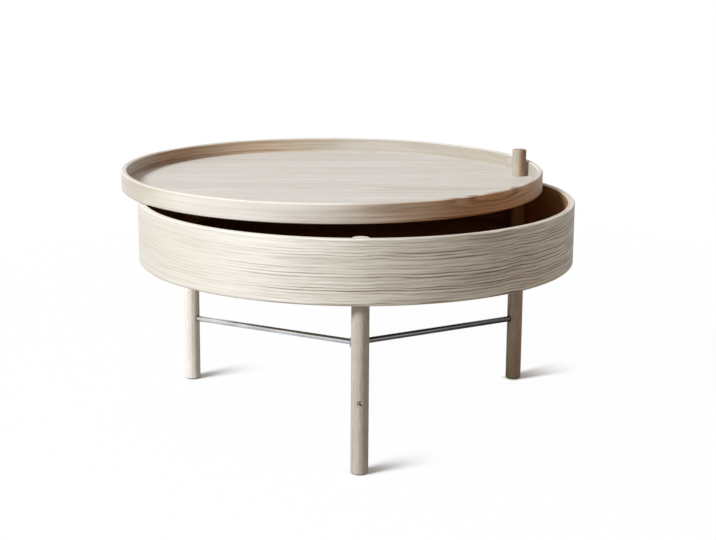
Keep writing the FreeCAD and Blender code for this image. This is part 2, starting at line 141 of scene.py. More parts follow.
# %% A tree that is built by calling its nodes
def pick(sockets, key):
    """A socket by its number, its identifier or its name."""
    if isinstance(key, int):
        return sockets[key]
    for socket in sockets:
        if socket.identifier == key:
            return socket
    return sockets[key]


def draw_profile(mapping, points):
    """Puts straight-line points into the curve of a Float Curve node."""
    curve = mapping.curves[0]
    for at, value in points[1:-1]:
        curve.points.new(at, value)
    for point, (at, value) in zip(curve.points, points):
        point.location = (at, value)
        point.handle_type = "VECTOR"
    mapping.update()


class Wiring:
    """A node tree that starts empty and grows by one node a call."""

    family = "ShaderNode"

    def __init__(self, tree):
        self.tree = tree
        self.tree.nodes.clear()

    def node(self, kind, settings, sockets, output=0):
        """Adds a node: its settings first, then what its sockets hold or are linked to."""
        known = kind.startswith(("ShaderNode", "GeometryNode", "FunctionNode"))
        made = self.tree.nodes.new(kind if known else self.family + kind)
        for name, value in settings.items():
            if name == "profile":
                draw_profile(made.mapping, value)
            else:
                setattr(made, name, value)
        for key, value in sockets.items():
            target = pick(made.inputs, key)
            if isinstance(value, Wire):
                self.tree.links.new(value.socket, target)
            else:
                target.default_value = value
        return None if output is None else Wire(self, pick(made.outputs, output))

    def maths(self, operation, *values):
        keys = ("Value", "Value_001", "Value_002")
        return self.node("ShaderNodeMath", {"operation": operation}, dict(zip(keys, values)))

    def vector(self, x, y, z):
        return self.node("ShaderNodeCombineXYZ", {}, {"X": x, "Y": y, "Z": z})

    def parts(self, vector):
        split = self.node("ShaderNodeSeparateXYZ", {}, {"Vector": vector})
        return [Wire(self, split.socket.node.outputs[axis]) for axis in "XYZ"]


print("one class builds shader trees and geometry trees")


# %% A material and the nodes that it often needs
class Finish(Wiring):
    """A material being wired up."""

    def __init__(self, name):
        self.material = bpy.data.materials.new(name)
        self.material.use_nodes = True
        super().__init__(self.material.node_tree)

    def place(self):
        return self.node("TexCoord", {}, {}, "Object")

    def step(self, value, low, high, bottom=0.0, top=1.0):
        """A smooth rise from bottom to top while the value goes from low to high."""
        return self.node("MapRange", {"interpolation_type": "SMOOTHSTEP"}, {
            "Value": value, "From Min": low, "From Max": high,
            "To Min": bottom, "To Max": top,
        })

    def wrapped(self, angle, half):
        """The angle, turned back or on until it lies between -half and half."""
        return self.maths("WRAP", angle, half, -half)

    def noise(self, vector, scale, detail, roughness=0.55):
        return self.node("TexNoise", {}, {
            "Vector": vector, "Scale": scale, "Detail": detail, "Roughness": roughness,
        })

    def drawn_out(self, vector, scales, detail, roughness, seed=(0.0, 0.0, 0.0)):
        """Noise with its own scale along each axis, moved to another spot by a seed."""
        spot = self.node("VectorMath", {"operation": "MULTIPLY_ADD"}, {
            "Vector": vector, "Vector_001": scales, "Vector_002": seed,
        })
        return self.noise(spot, 1.0, detail, roughness)

    def mixed(self, share, first, second):
        return self.node("Mix", {"data_type": "RGBA"}, {
            "Factor_Float": share, "A_Color": first, "B_Color": second,
        }, "Result_Color")

    def bumped(self, height, strength, distance):
        return self.node("Bump", {}, {
            "Height": height, "Strength": strength, "Distance": distance,
        })

    def close(self, colour, roughness, normal=None, all_over=()):
        """The surface shader; what is the same all over sits on its own sockets."""
        sockets = {"Base Color": colour, "Roughness": roughness, **dict(all_over)}
        if normal is not None:
            sockets["Normal"] = normal
        surface = self.node("BsdfPrincipled", {}, sockets)
        self.node("OutputMaterial", {}, {"Surface": surface}, None)
        return self.material


def paint(red, green, blue):
    """A colour as a paint chart gives it, 0 to 255, made linear for the shader."""
    return tuple((part / 255) ** 2.2 for part in (red, green, blue)) + (1.0,)


print("half-bright paint is", round(paint(128, 128, 128)[0], 3), "to the shader")

# %% [markdown]
# ## Rings of a log
#
# Ash shows its year rings as lines. On a flat-sawn board they open into long arches where
# the saw passed near the heart, and run straight where it passed far from it. A wave
# texture gives stripes of one width. Here a point on the board is put back into the log:
# its distance from a wandering heart line, counted in rings, gives lines and arches alike.
#
# Each ring starts with a row of open pores, dark and sharp on one side, and fades into
# dense pale wood. Bleaching leaves the pores darkest, so they carry most of the drawing.
#
# A cut is a table of plain numbers that says how a board lies in its log:
#
# - ring_width is one year's growth, and uneven_years how far good and bad years change it.
# - heart is where the heart line lies across the board. sway and ripple are how far it
#   wanders over long and short stretches, and dip is how far it rises and sinks.
# - The heart line comes up to the face at arch_at, and the arches nest round that place. It
#   goes down again with arch_slope, as far out as arch_reach.
# - sharp and fade are shares of a ring: the dark line is darkest at sharp and gone at fade.
# - line, fibre and shade are how dark the pores, the fine fibres and the soft clouds are.
# - weakest is how much of its line the faintest ring keeps. fading and broken are how much
#   a line loses along its way, in long stretches and between fibres.
# - Each scale says how finely a noise is drawn along, across and into the board, and seed
#   is a spot in the noises, so that no two kinds of board look the same.

# %% From a place on the board to a place in the log
MIDDLE_OF_NOISE = 0.5
LEVELS_OFF_OVER = 0.03
YEAR_DRIFT = 0.31


def years_from_heart(finish, along, across, spot, cut, bold):
    """How many rings lie between the heart of the log and a place on the board."""
    seed = cut["seed"]
    long_wave = finish.drawn_out(spot, cut["sway_scale"], detail=2.0, roughness=0.45, seed=seed)
    short_wave = finish.drawn_out(spot, cut["ripple_scale"], detail=2.0, roughness=0.5, seed=seed)
    sway = long_wave - MIDDLE_OF_NOISE
    ripple = short_wave - MIDDLE_OF_NOISE
    sideways = across - cut["heart"] + sway * cut["sway"] + ripple * bold * cut["ripple"]
    from_arch = finish.maths("ABSOLUTE", along - cut["arch_at"])
    from_arch = finish.maths("SMOOTH_MIN", from_arch, cut["arch_reach"], LEVELS_OFF_OVER)
    below = from_arch * cut["arch_slope"] + sway * cut["dip"]
    year = hypotenuse(sideways, below) / cut["ring_width"]
    place_in_time = finish.vector(year * YEAR_DRIFT, seed[0], seed[1])
    weather = finish.noise(place_in_time, scale=1.0, detail=1.0)
    return year + (weather - MIDDLE_OF_NOISE) * cut["uneven_years"]


print("a board can be put back into its log")

# %% The figure of a board
FIBRE_FROM_TO = (0.40, 0.62)
CLOUD_FROM_TO = (0.3, 0.7)
FADING_FROM_TO = (0.25, 0.6)


def ring_line(finish, year, cut):
    """The row of pores that starts each ring, bold in some years and faint in others."""
    phase = finish.maths("FRACT", year)
    luck = finish.node("TexWhiteNoise", {"noise_dimensions": "1D"},
                       {"W": finish.maths("FLOOR", year) + cut["seed"][2]}, "Value")
    strength = cut["weakest"] + luck * luck * (1 - cut["weakest"])
    rise = finish.step(phase, 0.0, cut["sharp"])
    fall = 1 - finish.step(phase, cut["sharp"], cut["fade"])
    return rise * fall * strength


def ring_figure(finish, along, across, depth, cut, bold=1.0):
    """How dark a point is, from 0 to 1, and how deep its pores are."""
    spot = finish.vector(along, across, depth)
    seed = cut["seed"]
    line = ring_line(finish, years_from_heart(finish, along, across, spot, cut, bold), cut)
    threads = finish.drawn_out(spot, cut["fibre_scale"], detail=3.0, roughness=0.6)
    fibres = finish.step(threads, *FIBRE_FROM_TO)
    clouds = finish.drawn_out(spot, cut["shade_scale"], detail=3.0, roughness=0.5, seed=seed)
    shade = finish.step(clouds, *CLOUD_FROM_TO)
    fading = finish.drawn_out(spot, cut["fading_scale"], detail=2.0, roughness=0.5, seed=seed)
    kept = finish.step(fading, *FADING_FROM_TO, bottom=1 - cut["fading"])
    pores = line * kept * (1 - cut["broken"] + fibres * cut["broken"])
    dark = (pores * cut["line"] + fibres * cut["fibre"]) * bold + shade * cut["shade"]
    return dark, pores * bold


print("ring figure ready")

# %% Ash with its lacquer
PORE_DEPTH = 0.0002
LACQUER_ROUGHNESS = 0.5
ROUGHER_IN_PORES = 0.15
LACQUER_GLOSS = {"Specular IOR Level": 0.25}


def ash(finish, dark, pores, pale, brown, bump=0.35):
    """Ash under a matt lacquer, from pale wood to the brown in its pores."""
    colour = finish.mixed(dark, pale, brown)
    normal = finish.bumped(1 - pores, bump, PORE_DEPTH)
    roughness = LACQUER_ROUGHNESS + pores * ROUGHER_IN_PORES
    return finish.close(colour, roughness, normal, LACQUER_GLOSS)


print("lacquer: roughness", LACQUER_ROUGHNESS, "and", ROUGHER_IN_PORES, "more in the pores")

# %% [markdown]
# ## The two bent hoops
#
# The drum's wall and the tray's rim are strips of ash bent into a ring, so the grain runs
# round and round. A pattern on plain X and Y would cut straight through the hoop. The strip
# is unrolled instead: the angle about the hoop's middle, times its radius, is the length
# along the strip, and height plus thickness is the way across it. The place where the angle
# jumps from end to end becomes the scarf joint, which a bent strip really has.
#
# A long strip is never one tone. It passes from pale wood to golden heartwood, and its
# lines are bold on one stretch and faint on the next. A noise could make such patches, but
# anywhere. Here each is a soft patch at a bearing, on the outer or the inner face, so the
# golden stretch of the tray's rim stays on its own side. Many patches are painted light and
# shade rather than wood: the white ones and the cream one are painted light, and the grey ones
# on the drum, the shady ones and the red one are painted shade. On the drum the lines fade
# towards its lit side, a painted glare.
#
# A hoop's cut has three more keys: scarf is the bearing of its joint, wall its thickness,
# and bold_at the stretches where its lines are bold.

# %% Tones of ash, the wood first and then the lines in it
PALE_ASH = paint(231, 229, 222)
# The next tone is painted light: it whitens patches of the hoops, their top edges and the tops of
# the short legs.
HIGHLIGHT_WHITE_ASH = paint(248, 247, 242)
# The next tone is the tray's inner face and a patch in it; on the drum it is painted shade.
GREY_ASH_AND_SHADE = paint(205, 201, 192)
SHADY_ASH = paint(182, 176, 163)
# The next tone is painted light on the dim back of the tray's inner wall.
CREAM_PAINTED_LIGHT_ASH = paint(224, 206, 184)
GOLDEN_ASH = paint(226, 190, 156)
HEARTWOOD = paint(194, 158, 128)
# The next two tones are painted shade inside the drum, under the lid.
INSIDE_SHADE_ASH = paint(190, 150, 110)
RED_PAINTED_SHADE_ASH = paint(180, 124, 80)
PORE_BROWN = paint(136, 122, 105)
SOFT_PORES = paint(186, 176, 162)
CREAM_PORES = paint(164, 134, 106)
GOLDEN_PORES = paint(150, 112, 80)
# Dark brown lines, for heartwood and for the painted shade inside the drum and the legs.
BROWN_PORES_AND_SHADE = paint(120, 88, 60)
print("nine tones of wood, five of pores")

# %% A finish for a bent strip
QUIET_GRAIN = 0.3
INNER_TONE_TO = 0.75
OUTER_TONE_FROM = 0.6
# The top edge of each hoop is whitened in this band, a painted highlight.
HIGHLIGHT_EDGE_FROM_TO = (-0.0016, -0.0006)
EDGE_HIGHLIGHT_SHARE = 0.8
GLUE_FROM_TO = (0.0003, 0.0009)
GLUE_DARKNESS = 0.6


def soft_spot(finish, angle, centre, reach):
    """1 at one bearing of the hoop, falling softly to 0 at its reach to either side."""
    turn = finish.wrapped(angle - math.radians(centre), math.pi)
    return 1 - finish.step(finish.maths("ABSOLUTE", turn), 0.0, math.radians(reach))


def hoop_finish(name, node, cut, inside, stains_and_painted_light):
    """Ash bent round a node's middle; bearings are in degrees from +X, seen from above."""
    finish = Finish(name)
    middle = middle_of(node)
    # The angle is counted from opposite the joint, so that it jumps at the joint.
    zero = cut["scarf"] + 180
    turned = finish.node("Mapping", {"vector_type": "TEXTURE"}, {
        "Vector": finish.place(), "Location": tuple(middle),
        "Rotation": (0.0, 0.0, math.radians(zero)),
    })
    x, y, z = finish.parts(turned)
    angle = finish.maths("ARCTAN2", y, x)
    radius = hypotenuse(x, y)
    bold = QUIET_GRAIN
    for bearing, reach, most in cut["bold_at"]:
        bold = soft_spot(finish, angle, bearing - zero, reach) * most + bold
    dark, pores = ring_figure(finish, angle * HOOP_RADIUS, z + radius - HOOP_RADIUS, radius,
                              cut, bold)
    outer = finish.step(radius, HOOP_RADIUS - cut["wall"] * INNER_TONE_TO,
                        HOOP_RADIUS - cut["wall"] * OUTER_TONE_FROM)
    pale = finish.mixed(outer, inside[0], PALE_ASH)
    brown = finish.mixed(outer, inside[1], PORE_BROWN)
    for bearing, reach, amount, face, wood, line in stains_and_painted_light:
        share = soft_spot(finish, angle, bearing - zero, reach) * amount
        share = share * (outer if face == "outer" else 1 - outer)
        pale = finish.mixed(share, pale, wood)
        brown = finish.mixed(share, brown, line)
    top = top_of(node) - middle.z
    # A painted highlight: the top edge is whitened where light catches it.
    edge = finish.step(z, top + HIGHLIGHT_EDGE_FROM_TO[0], top + HIGHLIGHT_EDGE_FROM_TO[1])
    pale = finish.mixed(edge * EDGE_HIGHLIGHT_SHARE, pale, HIGHLIGHT_WHITE_ASH)
    from_joint = (math.pi - finish.maths("ABSOLUTE", angle)) * HOOP_RADIUS
    glue = (1 - finish.step(from_joint, *GLUE_FROM_TO)) * GLUE_DARKNESS
    return ash(finish, finish.maths("MAXIMUM", dark, glue), pores, pale, brown)


print("a strip is", round(2 * math.pi * HOOP_RADIUS, 2), "m long before it is bent")

# %% The drum's wall
# Bold stretches are bearing, reach and amount. Patches add a face, a wood and its lines.
# The drum's bold stretch lies on its shaded right and its lines fade towards the lit left, a
# painted glare.
DRUM_CUT = {
    "scarf": 100.0, "wall": 0.010, "bold_at": [(306.0, 88.0, 1.0)],
    "ring_width": 0.0047, "uneven_years": 2.0, "heart": 0.16, "sharp": 0.22, "fade": 0.65,
    "arch_at": 0.1, "arch_slope": 0.02, "arch_reach": 2.0,
    "sway": 0.022, "dip": 0.06, "sway_scale": (2.0, 4.0, 4.0),
    "ripple": 0.009, "ripple_scale": (12.0, 8.0, 8.0),
    "fibre_scale": (14.0, 420.0, 420.0), "fading_scale": (7.0, 90.0, 90.0),
    "shade_scale": (4.0, 40.0, 40.0), "weakest": 0.3, "fading": 0.5, "broken": 0.35,
    "line": 1.15, "fibre": 0.3, "shade": 0.1, "seed": (3.1, 0.7, 1.9),
}
# All five drum patches are painted light and shade: white where the wall should look more lit,
# grey where it should look darker, red inside as painted shade.
DRUM_PAINTED_LIGHT_AND_SHADE = [
    (250.0, 26.0, 0.8, "outer", HIGHLIGHT_WHITE_ASH, PORE_BROWN),
    (205.0, 40.0, 0.55, "outer", GREY_ASH_AND_SHADE, PORE_BROWN),
    (284.0, 22.0, 0.35, "outer", GREY_ASH_AND_SHADE, PORE_BROWN),
    (328.0, 44.0, 0.9, "outer", HIGHLIGHT_WHITE_ASH, PORE_BROWN),
    (36.0, 36.0, 0.8, "inner", RED_PAINTED_SHADE_ASH, BROWN_PORES_AND_SHADE),
]
# The inner face of the drum's wall is painted dark brown, a painted shade under the lid.
drum_hoop = hoop_finish("bent_ash_drum", "drum_wall", DRUM_CUT, (INSIDE_SHADE_ASH, BROWN_PORES_AND_SHADE),
                        DRUM_PAINTED_LIGHT_AND_SHADE)
print("drum:", drum_hoop.name, "with", len(DRUM_PAINTED_LIGHT_AND_SHADE), "stains_and_painted_light")

# %% The tray's rim
TRAY_CUT = {
    "scarf": 25.5, "wall": 0.0085,
    "bold_at": [(306.0, 60.0, 0.9), (150.0, 50.0, 0.7), (108.0, 28.0, 0.6)],
    "ring_width": 0.0060, "uneven_years": 1.2, "heart": 0.012, "sharp": 0.25, "fade": 0.9,
    "arch_at": 0.62, "arch_slope": 0.13, "arch_reach": 0.09,
    "sway": 0.03, "dip": 0.05, "sway_scale": (2.6, 6.0, 6.0),
    "ripple": 0.005, "ripple_scale": (14.0, 20.0, 20.0),
    "fibre_scale": (16.0, 420.0, 420.0), "fading_scale": (10.0, 120.0, 120.0),
    "shade_scale": (6.0, 40.0, 40.0), "weakest": 0.35, "fading": 0.4, "broken": 0.3,
    "line": 0.9, "fibre": 0.15, "shade": 0.22, "seed": (7.3, 2.2, 5.1),
}
# Of the tray's patches, the white one is painted light, the shady ones painted shade and the
# cream one painted light on the dim back wall; the golden and heartwood ones are wood.
TRAY_STAINS_AND_PAINTED_LIGHT = [
    (313.0, 56.0, 1.0, "outer", GOLDEN_ASH, GOLDEN_PORES),
    (207.0, 30.0, 0.75, "outer", SHADY_ASH, SOFT_PORES),
    (248.0, 36.0, 1.0, "outer", HIGHLIGHT_WHITE_ASH, SOFT_PORES),
    (116.0, 36.0, 1.0, "inner", CREAM_PAINTED_LIGHT_ASH, CREAM_PORES),
    (146.0, 36.0, 0.85, "inner", HEARTWOOD, BROWN_PORES_AND_SHADE),
    (168.0, 20.0, 0.45, "inner", GREY_ASH_AND_SHADE, PORE_BROWN),
    (42.0, 32.0, 0.7, "inner", SHADY_ASH, PORE_BROWN),
]
tray_hoop = hoop_finish("bent_ash_tray", "tray_rim", TRAY_CUT, (GREY_ASH_AND_SHADE, PORE_BROWN),
                        TRAY_STAINS_AND_PAINTED_LIGHT)
print("tray:", tray_hoop.name, "with", len(TRAY_STAINS_AND_PAINTED_LIGHT), "stains_and_painted_light")

# %% [markdown]
# ## The two flat panels
#
# The floor of the tray and the floor of the drum are boards faced with wide ash veneer. The
# grain runs from left to right. Stripes alone would look like cloth, so the heart line lies
# just under the face and draws a few long arches, with a very low contrast. The tray is
# bleached like the hoops. The drum's floor is painted dark warm brown, a painted shade under
# the lid, and its underside has a dull backing veneer, as panels do where nobody looks.

# %% A finish for a panel
PANEL_CUT = {
    "ring_width": 0.0075, "uneven_years": 1.6, "heart": 0.02, "sharp": 0.2, "fade": 0.95,
    "arch_at": -0.45, "arch_slope": 0.08, "arch_reach": 2.0,
    "sway": 0.05, "dip": 0.08, "sway_scale": (1.4, 4.0, 4.0),
    "ripple": 0.004, "ripple_scale": (9.0, 30.0, 30.0),
    "fibre_scale": (40.0, 800.0, 800.0), "fading_scale": (8.0, 60.0, 60.0),
    "shade_scale": (3.0, 18.0, 18.0), "weakest": 0.35, "fading": 0.65, "broken": 0.5,
    "line": 0.45, "fibre": 0.12, "shade": 0.2, "seed": (1.3, 6.7, 2.9),
}
SANDED_FLAT = 0.2
BACK_VENEER = paint(150, 140, 128)
VENEER_BLEND = 0.001


def panel_finish(name, pale, brown, back_below=None):
    """Flat ash; below a level it is faced with a duller veneer, as on an underside."""
    finish = Finish(name)
    x, y, z = finish.parts(finish.place())
    dark, pores = ring_figure(finish, x, y, z, PANEL_CUT)
    if back_below is not None:
        face = finish.step(z, back_below - VENEER_BLEND, back_below + VENEER_BLEND)
        pale = finish.mixed(face, BACK_VENEER, pale)
    return ash(finish, dark, pores, pale, brown, SANDED_FLAT)


tray_panel = panel_finish("pale_ash_panel", paint(234, 234, 231), paint(176, 166, 155))
# The drum's floor is painted dark and warm, a painted shade inside the drum.
drum_panel = panel_finish("raw_ash_panel", paint(192, 148, 108), BROWN_PORES_AND_SHADE,
                          back_below=middle_of("drum_floor").z)
print("panels:", tray_panel.name, drum_panel.name)

# %% [markdown]
# ## Turned legs
#
# A leg is turned from one straight stick, so its lines run up and down and its ends show
# the rings themselves. Unrolling it as a hoop would bend the rings round the dowel. A real
# dowel keeps them in place, and so does this one: the distance from a heart line that
# stands far from the leg is worked out in the solid, and side and end grain follow from it.
#
# Each leg has its own tone, which is painted light and shade: the left leg whitened, the
# front leg greyed and the pivot leg lighter below the tray. Inside the drum they are painted
# dark brown like the wall around them, a painted shade, up to the tops of the two short ones,
# which are painted white as a highlight. The leg that the tray turns about comes up through it
# as a post, painted greyer there as shade, with one side browner: browner wood and painted
# shade on the side away from the lamp.

# %% A finish for dowels
DOWEL_CUT = {
    "ring_width": 0.0026, "uneven_years": 1.2, "heart": 0.0, "sharp": 0.15, "fade": 0.7,
    "arch_at": 0.0, "arch_slope": 0.0, "arch_reach": 2.0,
    "sway": 0.012, "dip": 0.0, "sway_scale": (2.2, 9.0, 9.0),
    "ripple": 0.0006, "ripple_scale": (14.0, 90.0, 90.0),
    "fibre_scale": (60.0, 1100.0, 1100.0), "fading_scale": (14.0, 160.0, 160.0),
    "shade_scale": (6.0, 60.0, 60.0), "weakest": 0.35, "fading": 0.65, "broken": 0.5,
    "line": 0.6, "fibre": 0.24, "shade": 0.2, "seed": (4.4, 1.1, 8.2),
}
HEART_OF_STICKS = (-0.09, -0.05)
# Inside the drum the legs are painted this dark brown, a painted shade.
INSIDE_SHADE_DOWEL = paint(214, 170, 132)
INSIDE_SHADE_FROM = top_of("drum_floor")
INSIDE_SHADE_BLEND = 0.003
# The tops of the two short legs are painted white, a painted highlight.
PALE_TOP = 0.006
BELOW_THE_TOPS = top_of("front_leg") - PALE_TOP
TRAY_UNDERSIDE = underside_of("tray_floor")
# The post is painted greyer, and its side away from the lamp brown: painted shade, partly browner
# wood.
POST_SHADE_ASH = paint(198, 194, 180)
BROWN_SIDE_AND_SHADE = paint(164, 132, 106)
BEFORE_THE_AXIS = 0.005
BROWN_FROM = LEGS["pivot"].x - BEFORE_THE_AXIS
BROWN_BLEND = 0.009
BROWN_BELOW_POST = 0.4


def dowel_finish(name, light_and_shade_tone, line_tone, inside_shade_to, is_post=False):
    """A leg, painted dark inside the drum as shade; the one through the tray is painted greyer
    there, with a brown side of browner wood and painted shade.
    """
    finish = Finish(name)
    x, y, z = finish.parts(finish.place())
    from_heart = hypotenuse(x - HEART_OF_STICKS[0], y - HEART_OF_STICKS[1])
    dark, pores = ring_figure(finish, z, from_heart, x, DOWEL_CUT)
    above = finish.step(z, inside_shade_to, inside_shade_to + INSIDE_SHADE_BLEND)
    inside_shade = finish.step(z, INSIDE_SHADE_FROM, INSIDE_SHADE_FROM + INSIDE_SHADE_BLEND) * (1 - above)
    pale = finish.mixed(inside_shade, light_and_shade_tone, INSIDE_SHADE_DOWEL)
    pale = finish.mixed(above, pale, POST_SHADE_ASH if is_post else HIGHLIGHT_WHITE_ASH)
    brown = finish.mixed(inside_shade, line_tone, BROWN_PORES_AND_SHADE)
    if is_post:
        amount = above * (1 - BROWN_BELOW_POST) + BROWN_BELOW_POST
        share = finish.step(x, BROWN_FROM, BROWN_FROM + BROWN_BLEND) * amount
        pale = finish.mixed(share, pale, BROWN_SIDE_AND_SHADE)
        brown = finish.mixed(share, brown, BROWN_PORES_AND_SHADE)
    return ash(finish, dark, pores, pale, brown)


# Each leg's tone is painted light and shade: the front leg greyed, the left leg whitened, the
# pivot leg lighter below the tray.
dowels = {
    "front_leg": dowel_finish("turned_ash_front", paint(200, 197, 188), PORE_BROWN,
                              BELOW_THE_TOPS),
    "left_leg": dowel_finish("turned_ash_left", paint(252, 250, 243), SOFT_PORES,
                             BELOW_THE_TOPS),
    "pivot_leg": dowel_finish("turned_ash_pivot", paint(244, 236, 224), PORE_BROWN,
                              TRAY_UNDERSIDE, is_post=True),
}
print("dowels:", ", ".join(dowels))

# %% [markdown]
# ## Steel, felt and nylon
#
# The rods are polished steel. A mirror with one colour looks drawn on, because a real rod
# keeps fine scratches from its polishing belt, which run along it, and a faint unevenness.
# Each rod has its own tint, a painted reflection: the left rod lightest, the pivot rod
# darkest, and darker still towards the pivot leg as painted shade.
#
# The sockets of the screws are painted dark, a painted shade in their hollows. Faces could be
# picked for that, but a recipe's faces have no fixed numbers, so the finish measures its
# distance from the screw's axis instead.
#
# Felt is a matted fabric: rough, with soft lighter hairs. Nylon is a milky plastic.


# %% Painted shade in the sockets of the rod screws
SOCKET_RADIUS = 0.0016
SOCKET_EDGE = 0.05
# The dark colour painted into the sockets, a painted shade.
SOCKET_PAINTED_SHADE = paint(34, 33, 32)


def in_socket(finish, spot):
    """1 round the axes of the three rod screws, which point at the middle of the table."""
    x, y, z = finish.parts(spot)
    half_way = math.pi / len(LEGS)
    turn = finish.maths("ARCTAN2", y, x) - math.radians(PIVOT_BEARING)
    aside = hypotenuse(x, y) * finish.maths("SINE", finish.wrapped(turn, half_way))
    from_axis = hypotenuse(aside, z - middle_of("front_rod_screw").z)
    return 1 - finish.step(from_axis, SOCKET_RADIUS * (1 - SOCKET_EDGE),
                           SOCKET_RADIUS * (1 + SOCKET_EDGE))


print("sockets:", SOCKET_RADIUS * 2000, "mm wide")

# %% Polished steel
ALONG_THE_ROD = (60.0, 60.0, 1500.0)
EVERY_WAY = (1500.0, 1500.0, 1500.0)
SCRATCH_DEPTH = 0.0001
SCRATCH_BUMP = 0.12
SMOOTHEST = 0.7
ROUGHEST = 1.4
STEEL_CLOUDS = 35.0
DULL_STEEL = paint(110, 110, 112)
DULL_SHARE = 0.3
DULL_FROM_TO = (0.07, 0.23)


def steel_finish(name, tint, roughness, scratch_scale, socket_shade=None, end_shade_tint=None):
    """Polished steel; an end shade tint, a painted shade, is what it turns to as it goes out from
    the hub.
    """
    finish = Finish(name)
    spot = finish.place()
    if end_shade_tint is not None:
        x, y = finish.parts(spot)[:2]
        tint = finish.mixed(finish.step(hypotenuse(x, y), *DULL_FROM_TO), tint, end_shade_tint)
    scratch = finish.drawn_out(spot, scratch_scale, detail=2.0, roughness=0.6)
    clouds = finish.step(finish.noise(spot, STEEL_CLOUDS, detail=2.0), *CLOUD_FROM_TO)
    colour = finish.mixed(clouds * DULL_SHARE, tint, DULL_STEEL)
    # Paints the socket dark, a painted shade in its hollow.
    if socket_shade is not None:
        colour = finish.mixed(socket_shade(finish, spot), colour, SOCKET_PAINTED_SHADE)
    normal = finish.bumped(scratch, SCRATCH_BUMP, SCRATCH_DEPTH)
    uneven = finish.step(scratch, *CLOUD_FROM_TO, roughness * SMOOTHEST, roughness * ROUGHEST)
    return finish.close(colour, uneven, normal, {"Metallic": 1.0})


# Each rod's tint is a painted reflection, and the pivot rod's end tint a painted shade.
rods = {
    "left_rod": steel_finish("polished_rod_left", paint(226, 226, 227), 0.2, ALONG_THE_ROD),
    "front_rod": steel_finish("polished_rod_front", paint(186, 186, 188), 0.2, ALONG_THE_ROD),
    "pivot_rod": steel_finish("polished_rod_pivot", paint(134, 134, 136), 0.2, ALONG_THE_ROD,
                              end_shade_tint=paint(82, 82, 84)),
}
hub_steel = steel_finish("polished_hub", paint(186, 186, 188), 0.2, ALONG_THE_ROD)
screw_steel = steel_finish("screw_steel", paint(185, 185, 187), 0.22, EVERY_WAY)
head_steel = steel_finish("rod_screw_steel", paint(228, 228, 228), 0.25, EVERY_WAY, in_socket)
print("steel:", ", ".join(rods), hub_steel.name, screw_steel.name, head_steel.name)

# %% Felt and nylon
HAIR_SCALE = 1400.0
HAIR_BUMP = 0.6
HAIR_THICKNESS = 0.0004
LIGHT_HAIRS_FROM_TO = (0.35, 0.7)
HAIR_SHARE = 0.7
CLUMP_SCALE = 260.0
NYLON_CLOUDS = 180.0


def felt_finish(name):
    """Matted wool: dark clumps under fine lighter hairs."""
    finish = Finish(name)
    spot = finish.place()
    hairs = finish.noise(spot, HAIR_SCALE, detail=4.0, roughness=0.7)
    clumps = finish.noise(spot, CLUMP_SCALE, detail=2.0)
    light = finish.step(hairs, *LIGHT_HAIRS_FROM_TO) * HAIR_SHARE + clumps * (1 - HAIR_SHARE)
    colour = finish.mixed(light, paint(150, 142, 132), paint(190, 184, 174))
    roughness = 0.85 + clumps * 0.1
    return finish.close(colour, roughness, finish.bumped(hairs, HAIR_BUMP, HAIR_THICKNESS))


def nylon_finish(name):
    """Milky plastic, faintly cloudy in colour and gloss."""
    finish = Finish(name)
    cloud = finish.noise(finish.place(), NYLON_CLOUDS, detail=2.0)
    colour = finish.mixed(cloud, paint(236, 233, 226), paint(220, 216, 207))
    roughness = 0.35 + cloud * 0.15
    return finish.close(colour, roughness)


felt = felt_finish("wool_felt")
nylon = nylon_finish("natural_nylon")
print("small finishes:", felt.name, nylon.name)

# %% [markdown]
# ## Giving each node its finish
#
# The record already says which slot each node takes its finish from, so a table from slot
# to material dresses most of them. A second table holds the nodes with a finish of their
# own: the tray's rim, whose grain runs round another middle, the floor of the drum with its
# painted shade, and each leg and rod.

# %% Dressing the nodes
BY_SLOT = {
    "ash_hoop": drum_hoop, "ash_panel": tray_panel, "polished_steel": hub_steel,
    "screw_steel": screw_steel, "felt": felt, "nylon": nylon,
}
OWN_FINISH = {"tray_rim": tray_hoop, "drum_floor": drum_panel, **dowels, **rods}
for part in frame["record"]["subparts"]:
    finish_of_node = OWN_FINISH.get(part["node"]) or BY_SLOT[part["material_slot"]]
    for holder in frame["nodes"][part["node"]].material_slots:
        holder.material = finish_of_node

# %% [markdown]
# ## Recipes for small pieces
#
# Small pieces that repeat could be modelled once and copied by hand. Geometry Nodes keep a
# recipe instead: a tree with named sizes, which is run once and leaves a plain mesh. Both
# recipes below stand their piece at the bearings of the three legs, so they share the ring
# of points and the ending, which turns the copies into real faces with a material.


